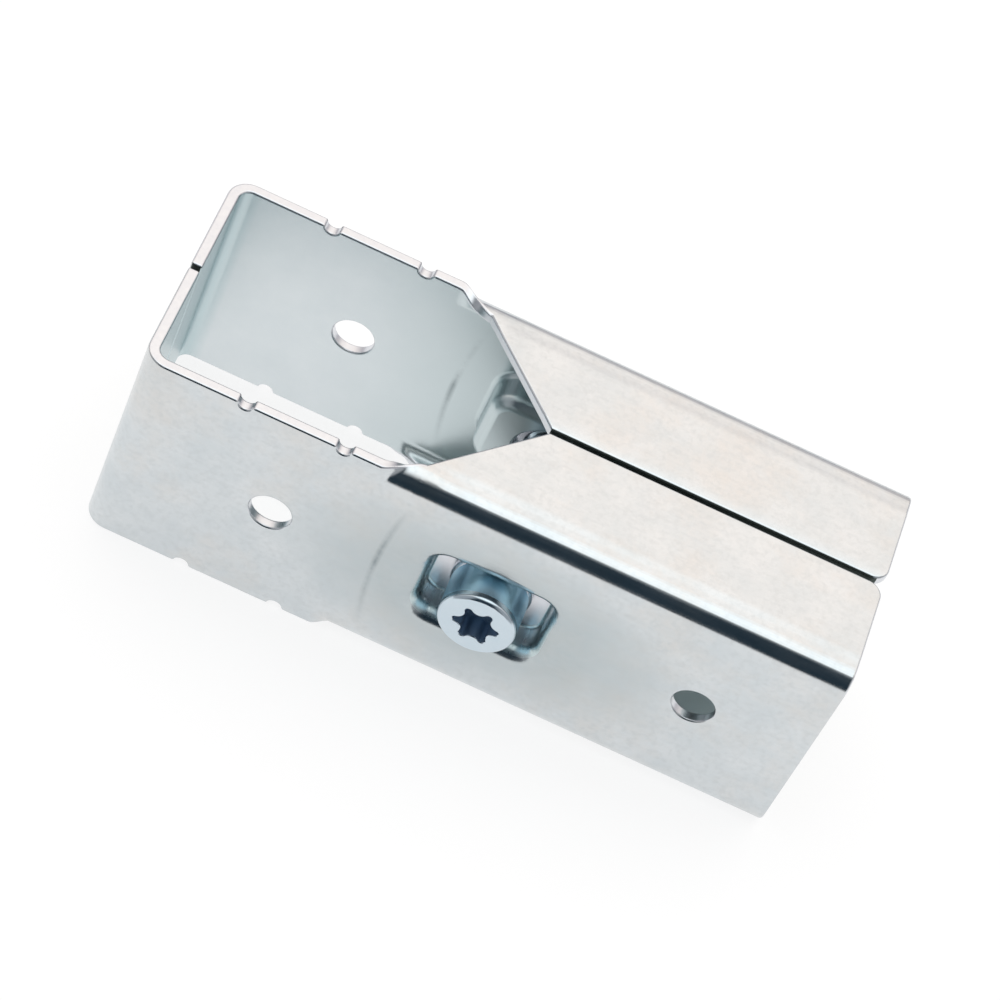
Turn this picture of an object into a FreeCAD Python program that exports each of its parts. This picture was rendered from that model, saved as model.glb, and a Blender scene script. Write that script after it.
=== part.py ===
"""Square tube connector: two folded sheet steel half shells that clamp a T of square tubes.

An upright tube passes through the open window at the left, and a cross tube slides into the sleeve at the
right.  One cap screw between them draws the two shells together: its head sits in a pressed pocket of the
front shell, and the same pocket of the rear shell keeps a square nut from turning.

Frame, in millimetres: the origin is where the centre lines of the two tubes cross.  +X runs along the cross
tube, +Z along the upright tube, and the front shell with the screw head faces -Y.
"""
import FreeCAD
import Part
import Sketcher
import math
import os

SIZES = {
    # tubes and sheet
    "tube_width": 30.0,
    "sheet_metal": 1.5,
    "bend_inside": 1.5,
    "seam_gap": 0.7,
    # lengths along X
    "window_length": 32.4,
    "body_length": 92.4,
    "mitre_tip": 30.4,
    "end_corner": 2.0,
    "lean_length": 5.0,
    "lean_margin": 0.5,
    # the pressed pocket, its screw hole and the pilot holes
    "screw_place": 31.6,
    "pocket_length": 15.7,
    "pocket_height": 10.9,
    "pocket_depth": 4.9,
    "pocket_corner": 2.2,
    "pocket_draft": 1.0,
    "pocket_floor_bevel": 0.3,
    "pocket_rim_round": 2.3,
    "screw_hole": 9.0,
    "pilot_pitch": 56.4,
    "pilot_hole": 5.5,
    # half-round nicks in the window's rims
    "nick_centre": 2.1,
    "nick_pitch": 12.7,
    "nick_radius": 1.0,
    "nick_depth": 0.9,
    # screw, washer and nut
    "screw_diameter": 6.0,
    "screw_length": 30.0,
    "screw_point": 0.8,
    "head_diameter": 10.0,
    "head_height": 6.0,
    "head_bevel": 0.7,
    "socket_outside": 5.95,
    "socket_inside": 4.1,
    "socket_lobe": 0.5,
    "socket_depth": 3.2,
    "socket_turn": 6.0,
    "washer_outside": 10.5,
    "washer_inside": 6.4,
    "washer_thick": 1.6,
    "washer_edge": 0.4,
    "nut_width": 10.0,
    "nut_thick": 5.0,
    "nut_face": 9.5,
    "nut_bevel": 30.0,
    "thread_play": 0.05,
}
TOLERANCE = 1e-4
# A bevel with legs of this share of a round's radius takes away about as much as the round would.
ROUND_AS_BEVEL = 0.65


class Size:
    """A length as a number, for the first draft of a sketch, and as the sheet expression that drives it."""

    def __init__(self, number, text):
        self.number = number
        self.text = text

    def combine(self, other, sign):
        if not isinstance(other, Size):
            other = Size(other, repr(other))
        numbers = {
            "+": self.number + other.number,
            "-": self.number - other.number,
            "*": self.number * other.number,
            "/": self.number / other.number if other.number else math.inf,
        }
        return Size(numbers[sign], f"({self.text} {sign} {other.text})")

    def __add__(self, other):
        return self.combine(other, "+")

    def __sub__(self, other):
        return self.combine(other, "-")

    def __mul__(self, other):
        return self.combine(other, "*")

    def __truediv__(self, other):
        return self.combine(other, "/")

    def __neg__(self):
        return Size(-self.number, f"(-{self.text})")


ZERO = Size(0.0, "0")


def make_sheet(doc):
    """The driving dimensions, one aliased cell each, and the same as Size values."""
    sheet = doc.addObject("Spreadsheet::Sheet", "Sizes")
    for row, (alias, value) in enumerate(SIZES.items(), start=1):
        sheet.set(f"A{row}", alias)
        sheet.set(f"B{row}", str(value))
        sheet.setAlias(f"B{row}", alias)
    doc.recompute()
    return {alias: Size(value, f"Sizes.{alias}") for alias, value in SIZES.items()}


def new_sketch(body, name, plane, offset=None):
    """A sketch on one of the body's own planes, moved along the plane's normal by offset."""
    sketch = body.newObject("Sketcher::SketchObject", name)
    support = [item for item in body.Origin.OriginFeatures if item.Role == plane][0]
    sketch.AttachmentSupport = [(support, "")]
    sketch.MapMode = "FlatFace"
    if offset is not None:
        sketch.setExpression("AttachmentOffset.Base.z", offset.text)
    return sketch


def bind(sketch, constraint, size):
    """Adds a dimension to the sketch and drives it from the sheet."""
    index = sketch.addConstraint(constraint)
    name = f"size{index}"
    sketch.renameConstraint(index, name)
    sketch.setExpression(f"Constraints.{name}", size.text)


def hold_coordinate(sketch, geometry, point, direction, size):
    """Holds one coordinate of a point, measured from the sketch's origin."""
    bind(sketch, Sketcher.Constraint(f"Distance{direction}", -1, 1, geometry, point, size.number), size)


def draw_outline(sketch, edges, corners):
    """Closed outline of alternating upright and level edges, with an arc at each corner that has a radius.

    edges holds X of the first upright edge, Y of the level edge that follows it, and so on; corners holds
    the radius between each edge and the next one, or None for a sharp corner.
    """
    count = len(edges)

    def corner_point(index):
        first = edges[index % count].number
        second = edges[(index + 1) % count].number
        return FreeCAD.Vector(*((first, second) if index % 2 == 0 else (second, first)), 0)

    lines = []
    for index in range(count):
        start = corner_point(index - 1)
        end = corner_point(index)
        along = (end - start).normalize()
        before = corners[index - 1]
        after = corners[index]
        start = start + along * (before.number if before else 0)
        end = end - along * (after.number if after else 0)
        lines.append(sketch.addGeometry(Part.LineSegment(start, end), False))
    for index, line in enumerate(lines):
        upright = index % 2 == 0
        sketch.addConstraint(Sketcher.Constraint("Vertical" if upright else "Horizontal", line))
        hold_coordinate(sketch, line, 1, "X" if upright else "Y", edges[index])
        following = lines[(index + 1) % count]
        radius = corners[index]
        if radius is None:
            sketch.addConstraint(Sketcher.Constraint("Coincident", line, 2, following, 1))
            continue
        here = sketch.Geometry[line]
        there = sketch.Geometry[following]
        turn = (here.EndPoint - here.StartPoint).cross(there.EndPoint - there.StartPoint).z
        corner = corner_point(index)
        centre = here.EndPoint + there.StartPoint - corner
        middle = centre + (corner - centre).normalize() * radius.number
        arc = sketch.addGeometry(Part.Arc(here.EndPoint, middle, there.StartPoint), False)
        first, last = (1, 2) if turn > 0 else (2, 1)
        sketch.addConstraint(Sketcher.Constraint("Tangent", line, 2, arc, first))
        sketch.addConstraint(Sketcher.Constraint("Tangent", arc, last, following, 1))
        bind(sketch, Sketcher.Constraint("Radius", arc, radius.number), radius)


def draw_circle(sketch, across, up, diameter):
    """A circle by its centre and diameter."""
    centre = FreeCAD.Vector(across.number, up.number, 0)
    circle = sketch.addGeometry(Part.Circle(centre, FreeCAD.Vector(0, 0, 1), diameter.number / 2), False)
    hold_coordinate(sketch, circle, 3, "X", across)
    hold_coordinate(sketch, circle, 3, "Y", up)
    bind(sketch, Sketcher.Constraint("Diameter", circle, diameter.number), diameter)


def draw_polygon(sketch, points):
    """A closed polygon through points given by their two coordinates."""
    count = len(points)
    corners = [FreeCAD.Vector(across.number, up.number, 0) for across, up in points]
    lines = []
    for index in range(count):
        line = Part.LineSegment(corners[index], corners[(index + 1) % count])
        lines.append(sketch.addGeometry(line, False))
    for index, line in enumerate(lines):
        across, up = points[index]
        sketch.addConstraint(Sketcher.Constraint("Coincident", lines[index - 1], 2, line, 1))
        hold_coordinate(sketch, line, 1, "X", across)
        hold_coordinate(sketch, line, 1, "Y", up)


def draw_star(sketch, outside, inside, lobe, turn):
    """Six-lobe socket, one lobe at the angle turn: round lobes and valleys that run smoothly into them."""
    lobe_angles = range(0, 360, 60)
    half_pitch = 30
    lobe_place = outside * 0.5 - lobe
    waist = inside * 0.5
    reach = lobe_place * math.cos(math.radians(half_pitch))
    valley = (waist * reach * 2 + lobe * lobe - waist * waist - lobe_place * lobe_place) / (
        (waist - reach - lobe) * 2
    )

    def across(angle):
        return Size(math.cos(math.radians(turn.number + angle)), f"cos({turn.text} + {angle})")

    def up(angle):
        return Size(math.sin(math.radians(turn.number + angle)), f"sin({turn.text} + {angle})")

    def towards(angle):
        return FreeCAD.Vector(across(angle).number, up(angle).number, 0)

    def meeting(lobe_angle, side):
        lobe_centre = towards(lobe_angle) * lobe_place.number
        valley_centre = towards(lobe_angle + side) * (waist.number + valley.number)
        return lobe_centre + (valley_centre - lobe_centre).normalize() * lobe.number

    lobes = []
    valleys = []
    for angle in lobe_angles:
        start = meeting(angle, -half_pitch)
        end = meeting(angle, half_pitch)
        following = meeting(angle + 2 * half_pitch, -half_pitch)
        tip = towards(angle) * (outside.number / 2)
        dip = towards(angle + half_pitch) * waist.number
        lobes.append(sketch.addGeometry(Part.Arc(start, tip, end), False))
        valleys.append(sketch.addGeometry(Part.Arc(end, dip, following), False))
    for index, angle in enumerate(lobe_angles):
        following = lobes[(index + 1) % len(lobes)]
        hold_coordinate(sketch, lobes[index], 3, "X", lobe_place * across(angle))
        hold_coordinate(sketch, lobes[index], 3, "Y", lobe_place * up(angle))
        bind(sketch, Sketcher.Constraint("Radius", lobes[index], lobe.number), lobe)
        bind(sketch, Sketcher.Constraint("Radius", valleys[index], valley.number), valley)
        sketch.addConstraint(Sketcher.Constraint("Tangent", lobes[index], 2, valleys[index], 2))
        sketch.addConstraint(Sketcher.Constraint("Tangent", valleys[index], 1, following, 1))


def pad(body, name, sketch, length, symmetric=False, reverse=False, taper=None):
    """Adds the sketch's area as material."""
    feature = body.newObject("PartDesign::Pad", name)
    feature.Profile = sketch
    feature.setExpression("Length", length.text)
    feature.SideType = "Symmetric" if symmetric else "One side"
    feature.Reversed = reverse
    if taper is not None:
        feature.setExpression("TaperAngle", taper.text)


def loft(body, name, first, last):
    """Adds the material between two sketches, spanned by straight lines."""
    feature = body.newObject("PartDesign::AdditiveLoft", name)
    feature.Profile = first
    feature.Sections = [last]
    feature.Ruled = True


def check_cut(body, name, before):
    """A cut that points away from the solid fails without a word, so the volumes are compared."""
    body.Document.recompute()
    if not body.Shape.Volume < before - TOLERANCE:
        raise RuntimeError(f"{name} cuts nothing")


def cut(body, name, sketch, length, symmetric=False, taper=None):
    """Takes the sketch's area out of the body."""
    body.Document.recompute()
    before = body.Shape.Volume
    feature = body.newObject("PartDesign::Pocket", name)
    feature.Profile = sketch
    feature.setExpression("Length", length.text)
    feature.SideType = "Symmetric" if symmetric else "One side"
    if taper is not None:
        feature.setExpression("TaperAngle", taper.text)
    check_cut(body, name, before)


def turn_cut(body, name, sketch):
    """Turns the sketch's area about its upright axis and takes it out of the body."""
    body.Document.recompute()
    before = body.Shape.Volume
    feature = body.newObject("PartDesign::Groove", name)
    feature.Profile = sketch
    feature.ReferenceAxis = (sketch, ["V_Axis"])
    check_cut(body, name, before)


def dress_edges(body, name, kind, size, chosen):
    """Rounds (Fillet) or bevels (Chamfer) every edge of the body whose bounding box passes the test."""
    body.Document.recompute()
    base = body.Tip
    edges = []
    for number, edge in enumerate(base.Shape.Edges, start=1):
        if chosen(edge.BoundBox):
            edges.append(f"Edge{number}")
    if not edges:
        raise RuntimeError(f"{name} finds no edges")
    feature = body.newObject(f"PartDesign::{kind}", name)
    feature.Base = (base, edges)
    feature.setExpression("Radius" if kind == "Fillet" else "Size", size.text)
    body.Document.recompute()


def near(first, second):
    return abs(first - second) < TOLERANCE


def new_body(doc, label):
    body = doc.addObject("PartDesign::Body", label)
    body.Label = label
    return body


def make_shell(doc, sizes, label, turn):
    """One half shell, modelled as the front one: wall, end flange, mitred flanges and pressed pocket."""
    body = new_body(doc, label)
    sheet = sizes["sheet_metal"]
    inside = sizes["tube_width"] * 0.5
    outside = inside + sheet
    bend_in = sizes["bend_inside"]
    bend_out = bend_in + sheet
    seam = -(sizes["seam_gap"] * 0.5)
    window_end = sizes["window_length"] * 0.5
    left_end = -(window_end + sheet)
    right_end = left_end + sizes["body_length"]
    screw_place = sizes["screw_place"]

    # The window part: end flange, upright bend and plain wall, standing to the full height at both rims.
    plan = new_sketch(body, label + "_plan", "XY_Plane")
    draw_outline(
        plan,
        [left_end, -outside, window_end, -inside, left_end + sheet, seam],
        [bend_out, None, None, bend_in, None, None],
    )
    pad(body, label + "_window", plan, outside * 2, symmetric=True)

    # The sleeve part: wall with both flanges folded towards the seam.
    section = new_sketch(body, label + "_section", "YZ_Plane", window_end)
    draw_outline(
        section,
        [-outside, outside, seam, inside, -inside, -inside, seam, -outside],
        [bend_out, None, None, bend_in, bend_in, None, None, bend_out],
    )
    pad(body, label + "_sleeve", section, right_end - window_end)

    # Mitred leading edges of both flanges, from the wall to the seam, cut well past the top and the bottom.
    mitre = new_sketch(body, label + "_mitre", "XY_Plane")
    draw_polygon(mitre, [(window_end, -inside), (sizes["mitre_tip"], ZERO), (window_end, ZERO)])
    cut(body, label + "_mitre_cut", mitre, outside * 4, symmetric=True)

    # Where a flange starts, the upright rim of the wall leans over into the bend, up to the mitred edge.
    margin = sizes["lean_margin"]
    lean_foot = outside - bend_out - margin
    lean_tip = -lean_foot
    lean_end = window_end + (lean_tip + inside) * (sizes["mitre_tip"] - window_end) / inside
    lean_start = lean_end - sizes["lean_length"]
    for side, way in (("_upper", 1), ("_lower", -1)):
        foot = lean_foot * way
        bend_start = (lean_foot + margin) * way
        rim_inner = inside * way
        rim_outer = outside * way
        rim_under = (outside - margin) * way
        clearing = new_sketch(body, label + side + "_clearing", "XZ_Plane", outside)
        draw_outline(clearing, [lean_start, foot, lean_end, rim_outer], [None] * 4)
        cut(body, label + side + "_cleared", clearing, bend_out + margin * 2)
        upright = new_sketch(body, label + side + "_upright_rim", "YZ_Plane", lean_start)
        heights = [foot, bend_start, rim_under, rim_outer]
        outer_side = [(-outside, height) for height in heights]
        inner_side = [(-inside, height) for height in reversed(heights)]
        draw_polygon(upright, outer_side + inner_side)
        bent = new_sketch(body, label + side + "_bent_rim", "YZ_Plane", lean_end)
        draw_outline(
            bent,
            [-outside, rim_outer, lean_tip, rim_inner, -inside, foot],
            [bend_out, None, None, bend_in, None, None],
        )
        loft(body, label + side + "_lean", upright, bent)

    # Rounded free corners of the flanges at the sleeve's mouth.
    def at_mouth_corner(box):
        upright = box.XLength < TOLERANCE and box.YLength < TOLERANCE
        return upright and near(box.XMin, right_end.number) and near(box.YMin, seam.number)

    dress_edges(body, label + "_corners", "Fillet", sizes["end_corner"], at_mouth_corner)

    # The pressed pocket: its boss on the inside of the wall, then the recess in front.  The sheet keeps its
    # thickness, so the boss is the recess grown by one sheet, and a turn that is tight on one side is wide
    # on the other.
    draft = sizes["pocket_draft"]
    slant = math.radians(draft.number)
    growth = Size((1 - math.sin(slant)) / math.cos(slant), f"((1 - sin({draft.text})) / cos({draft.text}))")
    offset = sheet * growth
    recess_x = sizes["pocket_length"] * 0.5
    recess_z = sizes["pocket_height"] * 0.5
    recess_corner = sizes["pocket_corner"]
    boss_x = recess_x + offset
    boss_z = recess_z + offset
    boss = new_sketch(body, label + "_boss_outline", "XZ_Plane", inside)
    boss_edges = [screw_place - boss_x, -boss_z, screw_place + boss_x, boss_z]
    draw_outline(boss, boss_edges, [recess_corner + offset] * 4)
    pad(body, label + "_boss", boss, sizes["pocket_depth"], reverse=True, taper=-draft)

    def on_pocket(level):
        def test(box):
            level_edge = box.YLength < TOLERANCE and near(box.YMin, level.number)
            across = abs(box.Center.x - screw_place.number) < boss_x.number + TOLERANCE
            return level_edge and across and abs(box.Center.z) < boss_z.number + TOLERANCE

        return test

    boss_top = sizes["pocket_depth"] - inside
    top_bevel = (sizes["pocket_floor_bevel"] + sheet) * ROUND_AS_BEVEL
    root_bevel = (sizes["pocket_rim_round"] - sheet) * ROUND_AS_BEVEL
    dress_edges(body, label + "_boss_top", "Chamfer", top_bevel, on_pocket(boss_top))
    dress_edges(body, label + "_boss_root", "Chamfer", root_bevel, on_pocket(-inside))
    recess = new_sketch(body, label + "_recess_outline", "XZ_Plane", outside)
    recess_edges = [screw_place - recess_x, -recess_z, screw_place + recess_x, recess_z]
    draw_outline(recess, recess_edges, [recess_corner] * 4)
    cut(body, label + "_recess", recess, sizes["pocket_depth"], taper=-draft)
    floor = sizes["pocket_depth"] - outside
    dress_edges(body, label + "_floor", "Chamfer", sizes["pocket_floor_bevel"], on_pocket(floor))
    dress_edges(body, label + "_rim", "Fillet", sizes["pocket_rim_round"], on_pocket(-outside))

    # Screw hole through the pocket's floor, pilot holes through the wall, nicks in the window's rims.
    screw_hole = new_sketch(body, label + "_screw_circle", "XZ_Plane", outside)
    draw_circle(screw_hole, screw_place, ZERO, sizes["screw_hole"])
    cut(body, label + "_screw_hole", screw_hole, outside)
    pilots = new_sketch(body, label + "_pilot_circles", "XZ_Plane", outside)
    for side in (-0.5, 0.5):
        draw_circle(pilots, screw_place + sizes["pilot_pitch"] * side, ZERO, sizes["pilot_hole"])
    cut(body, label + "_pilots", pilots, sheet)
    nicks = new_sketch(body, label + "_nick_circles", "XZ_Plane", outside)
    nick_height = outside + sizes["nick_radius"] - sizes["nick_depth"]
    for side in (-0.5, 0.5):
        for height in (-nick_height, nick_height):
            across = sizes["nick_centre"] + sizes["nick_pitch"] * side
            draw_circle(nicks, across, height, sizes["nick_radius"] * 2)
    cut(body, label + "_nicks", nicks, sheet)

    body.Placement = FreeCAD.Placement(FreeCAD.Vector(), FreeCAD.Rotation(FreeCAD.Vector(1, 0, 0), turn))
    return body


def make_screw(doc, sizes, label):
    """Cap screw about its own Z axis: the head stands up from the seat at Z = 0, the shank hangs below."""
    body = new_body(doc, label)
    half = new_sketch(body, label + "_half", "XZ_Plane")
    draw_outline(
        half,
        [ZERO, sizes["head_height"], sizes["head_diameter"] * 0.5, ZERO,
         sizes["screw_diameter"] * 0.5, -sizes["screw_length"]],
        [None] * 6,
    )
    turned = body.newObject("PartDesign::Revolution", label + "_turned")
    turned.Profile = half
    turned.ReferenceAxis = (half, ["V_Axis"])
    top = SIZES["head_height"]
    point = -SIZES["screw_length"]
    dress_edges(body, label + "_head_edge", "Chamfer", sizes["head_bevel"], lambda box: near(box.ZMin, top))
    dress_edges(body, label + "_point", "Chamfer", sizes["screw_point"], lambda box: near(box.ZMax, point))
    star = new_sketch(body, label + "_star", "XY_Plane", sizes["head_height"])
    draw_star(
        star,
        sizes["socket_outside"],
        sizes["socket_inside"],
        sizes["socket_lobe"],
        sizes["socket_turn"],
    )
    cut(body, label + "_socket", star, sizes["socket_depth"])
    return body


def make_washer(doc, sizes, label):
    """Plain washer with bevelled rims, lying on Z = 0."""
    body = new_body(doc, label)
    ring = new_sketch(body, label + "_ring", "XY_Plane")
    draw_circle(ring, ZERO, ZERO, sizes["washer_outside"])
    draw_circle(ring, ZERO, ZERO, sizes["washer_inside"])
    pad(body, label + "_plate", ring, sizes["washer_thick"])
    outside = SIZES["washer_outside"]

    def on_rim(box):
        return box.ZLength < TOLERANCE and near(box.XLength, outside)

    dress_edges(body, label + "_rims", "Chamfer", sizes["washer_edge"], on_rim)
    return body


def make_nut(doc, sizes, label):
    """Square nut with its seat at Z = 0, its block below and its far corners bevelled as by a lathe."""
    body = new_body(doc, label)
    outline = new_sketch(body, label + "_outline", "XY_Plane")
    half = sizes["nut_width"] * 0.5
    draw_outline(outline, [-half, -half, half, half], [None] * 4)
    draw_circle(outline, ZERO, ZERO, sizes["screw_diameter"] + sizes["thread_play"] * 2)
    pad(body, label + "_block", outline, sizes["nut_thick"], reverse=True)
    bevel = new_sketch(body, label + "_bevel", "XZ_Plane")
    start = sizes["nut_face"] * 0.5
    reach = sizes["nut_width"]
    bevel_angle = sizes["nut_bevel"]
    rise = (reach - start) * Size(math.tan(math.radians(bevel_angle.number)), f"tan({bevel_angle.text})")
    bottom = -sizes["nut_thick"]
    draw_polygon(bevel, [(start, bottom), (reach, bottom), (reach, bottom + rise)])
    turn_cut(body, label + "_bevelled", bevel)
    return body


def place_on_screw(body, sizes, depth):
    """Turns a piece's own +Z to the screw head's side and puts its origin on the screw axis at depth."""
    quarter_turn = FreeCAD.Rotation(FreeCAD.Vector(1, 0, 0), 90)
    body.Placement = FreeCAD.Placement(FreeCAD.Vector(), quarter_turn)
    body.setExpression("Placement.Base.x", sizes["screw_place"].text)
    body.setExpression("Placement.Base.y", depth.text)


doc = FreeCAD.newDocument("square_tube_connector")
sizes = make_sheet(doc)
front_shell = make_shell(doc, sizes, "front_shell", turn=0)
rear_shell = make_shell(doc, sizes, "rear_shell", turn=180)
screw = make_screw(doc, sizes, "clamp_screw")
washer = make_washer(doc, sizes, "clamp_washer")
nut = make_nut(doc, sizes, "clamp_nut")

pocket_floor = sizes["tube_width"] * 0.5 + sizes["sheet_metal"] - sizes["pocket_depth"]
place_on_screw(washer, sizes, -pocket_floor)
place_on_screw(screw, sizes, -(pocket_floor + sizes["washer_thick"]))
place_on_screw(nut, sizes, pocket_floor)
doc.recompute()

pieces = [front_shell, rear_shell, screw, washer, nut]
for item in doc.Objects:
    if "Invalid" in item.State or "Error" in item.State:
        raise RuntimeError(f"{item.Name} failed: {item.State}")
for piece in pieces:
    if piece.Shape.isNull() or not piece.Shape.isValid():
        raise RuntimeError(f"{piece.Label} has no valid shape")
os.makedirs("parts", exist_ok=True)
for piece in pieces:
    piece.Shape.exportStep(f"parts/{piece.Label}.step")
    print(piece.Label, f"{piece.Shape.Volume:.1f} mm3", piece.Shape.BoundBox)
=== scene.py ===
"""Looks of the square tube connector: zinc-plated sheet steel shells, a cap screw, its washer and nut.

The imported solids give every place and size.  Units are metres, with +Z up and the screw head facing -Y.
"""
import math

import bmesh
import bpy
from mathutils import Matrix, Vector
from mathutils.bvhtree import BVHTree
from mathutils.geometry import intersect_point_line


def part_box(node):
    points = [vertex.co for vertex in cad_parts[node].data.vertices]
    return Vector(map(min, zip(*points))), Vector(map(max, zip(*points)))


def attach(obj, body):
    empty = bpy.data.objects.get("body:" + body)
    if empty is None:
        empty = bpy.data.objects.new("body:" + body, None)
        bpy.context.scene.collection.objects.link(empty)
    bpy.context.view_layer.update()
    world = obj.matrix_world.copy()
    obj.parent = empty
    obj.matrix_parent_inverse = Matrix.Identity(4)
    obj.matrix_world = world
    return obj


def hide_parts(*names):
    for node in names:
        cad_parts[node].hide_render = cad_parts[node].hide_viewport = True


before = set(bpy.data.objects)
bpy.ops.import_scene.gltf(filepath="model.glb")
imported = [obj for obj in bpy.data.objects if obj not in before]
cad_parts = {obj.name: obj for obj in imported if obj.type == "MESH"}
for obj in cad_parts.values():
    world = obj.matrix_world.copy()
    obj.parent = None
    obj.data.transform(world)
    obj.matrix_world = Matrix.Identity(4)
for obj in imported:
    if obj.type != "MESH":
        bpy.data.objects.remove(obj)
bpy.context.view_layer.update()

# Half shells: 1.5 mm steel sheet, punched, folded and drawn in a press, then bright zinc plated.
# Both are one pressing, and the rear one is turned over; the screw draws the two together on the tubes.
# Their finishes come first, then their mesh.
MM = 0.001
SHEET = 1.5 * MM
POCKET_X = 31.6 * MM


def colour(code):
    """sRGB hex to the linear colour that the shader sockets take."""
    parts = [int(code[place:place + 2], 16) / 255 for place in (1, 3, 5)]
    return [part / 12.92 if part < 0.04045 else ((part + 0.055) / 1.055) ** 2.4 for part in parts] + [1.0]


def add_node(tree, kind, settings=None, **inputs):
    """Adds a node with its settings, and links or fills its inputs, by name or, as _6, by number."""
    node = tree.nodes.new(kind)
    for name, value in (settings or {}).items():
        setattr(node, name, value)
    for name, value in inputs.items():
        socket = node.inputs[int(name[1:]) if name[0] == "_" else name.replace("_", " ")]
        if isinstance(value, bpy.types.NodeSocket):
            tree.links.new(value, socket)
        else:
            socket.default_value = value
    return node


def per_metre(size_in_mm):
    """Texture scale whose features are about that size."""
    return 1 / (size_in_mm * MM)


def new_finish(name):
    """An empty material, its node tree, and the piece's own coordinates for its patterns."""
    material = bpy.data.materials.new(name)
    material.use_nodes = True
    tree = material.node_tree
    tree.nodes.clear()
    return material, tree, add_node(tree, "ShaderNodeTexCoord").outputs["Object"]


def plate(tree, **inputs):
    """Ends a finish with a metal shader that takes these inputs."""
    shader = add_node(tree, "ShaderNodeBsdfPrincipled", Metallic=1.0, **inputs)
    add_node(tree, "ShaderNodeOutputMaterial", Surface=shader.outputs["BSDF"])


def clouded(tree, place, size_in_mm, detail, dark, light, break_up=0.5):
    """Clouds of about that size, and a tint that drifts with them between two shades."""
    clouds = add_node(
        tree,
        "ShaderNodeTexNoise",
        Vector=place,
        Scale=per_metre(size_in_mm),
        Detail=detail,
        Roughness=break_up,
    ).outputs["Fac"]
    tint = add_node(
        tree, "ShaderNodeMix", {"data_type": "RGBA"}, Factor=clouds, _6=colour(dark), _7=colour(light)
    )
    return clouds, tint.outputs[2]


# Painted shade along the crease that the die pressed beside the pocket, in mm: the line's place and length,
# and the bow that it is a part of.  Its width is a share of that bow.
MARK_PLACE = 17.6
MARK_LENGTH = 12
MARK_BOW = 28.4
MARK_BOW_HEIGHT = 60
MARK_WIDTH = 0.02


def painted_crease_shade(tree, place, under, patches):
    """Draws over a colour a faint, broken line of painted shade where the die's crease lies by the pocket.
    """
    bowed = add_node(
        tree,
        "ShaderNodeMapping",
        Vector=place,
        Location=(-POCKET_X * per_metre(MARK_BOW), 0.0, 0.0),
        Scale=(per_metre(MARK_BOW), 0.0, per_metre(MARK_BOW_HEIGHT)),
    )
    bow = add_node(
        tree, "ShaderNodeTexGradient", {"gradient_type": "SPHERICAL"}, Vector=bowed.outputs["Vector"]
    )
    off = add_node(tree, "ShaderNodeMath", {"operation": "SUBTRACT"}, _0=bow.outputs["Fac"], _1=0.5)
    away = add_node(tree, "ShaderNodeMath", {"operation": "ABSOLUTE"}, _0=off.outputs["Value"])
    line = add_node(
        tree, "ShaderNodeMapRange", Value=away.outputs["Value"], From_Max=MARK_WIDTH, To_Min=1.0, To_Max=0.0
    )
    around = add_node(
        tree,
        "ShaderNodeMapping",
        Vector=place,
        Location=(-MARK_PLACE / MARK_LENGTH, 0.0, 0.0),
        Scale=(per_metre(MARK_LENGTH), 0.0, per_metre(MARK_LENGTH)),
    )
    reach = add_node(
        tree, "ShaderNodeTexGradient", {"gradient_type": "SPHERICAL"}, Vector=around.outputs["Vector"]
    )
    short = add_node(
        tree,
        "ShaderNodeMath",
        {"operation": "MULTIPLY"},
        _0=line.outputs["Result"],
        _1=reach.outputs["Fac"],
    )
    broken = add_node(tree, "ShaderNodeMapRange", Value=patches, From_Min=0.36, From_Max=0.56, To_Max=0.75)
    crease_shade = add_node(
        tree,
        "ShaderNodeMath",
        {"operation": "MULTIPLY"},
        _0=short.outputs["Value"],
        _1=broken.outputs["Result"],
    )
    # Painted shade: the die's crease is drawn as a dark line.
    crease_shaded = add_node(
        tree,
        "ShaderNodeMix",
        {"data_type": "RGBA"},
        Factor=crease_shade.outputs["Value"],
        _6=under,
        _7=colour("#7f8a8e"),
    )
    return crease_shaded.outputs[2]


# Bright zinc on rolled sheet is a soft, cool mirror.  The eye sees cloudy plating with a few warmer stains,
# a zone drawn darker round the pocket, a line of painted shade along the die's crease, a fine speckle, and
# rolling lines along the tube.  The lines are drawn 0.5 mm wide and the speckle 0.7 mm, coarser than the
# real ones, so that they show.
DARKER_ZONE_LENGTH = 28
DARKER_ZONE_HEIGHT = 15
ALONG_THE_TUBE = (0.06, 1.0, 1.0)
zinc_sheet, tree, place = new_finish("bright_zinc_on_rolled_sheet")
clouds = add_node(tree, "ShaderNodeTexNoise", Vector=place, Scale=per_metre(5), Detail=5.0, Roughness=0.6)
cloudy = add_node(tree, "ShaderNodeMapRange", Value=clouds.outputs["Fac"], From_Min=0.32, From_Max=0.68)
tint = add_node(
    tree,
    "ShaderNodeMix",
    {"data_type": "RGBA"},
    Factor=cloudy.outputs["Result"],
    _6=colour("#cfd5d8"),
    _7=colour("#d8dcde"),
)
stains = add_node(tree, "ShaderNodeTexNoise", Vector=place, Scale=per_metre(11), Detail=6.0, Roughness=0.65)
stained = add_node(
    tree, "ShaderNodeMapRange", Value=stains.outputs["Fac"], From_Min=0.48, From_Max=0.68, To_Max=0.5
)
warm = add_node(
    tree,
    "ShaderNodeMix",
    {"data_type": "RGBA"},
    Factor=stained.outputs["Result"],
    _6=tint.outputs[2],
    _7=colour("#d6d2cd"),
)
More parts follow.
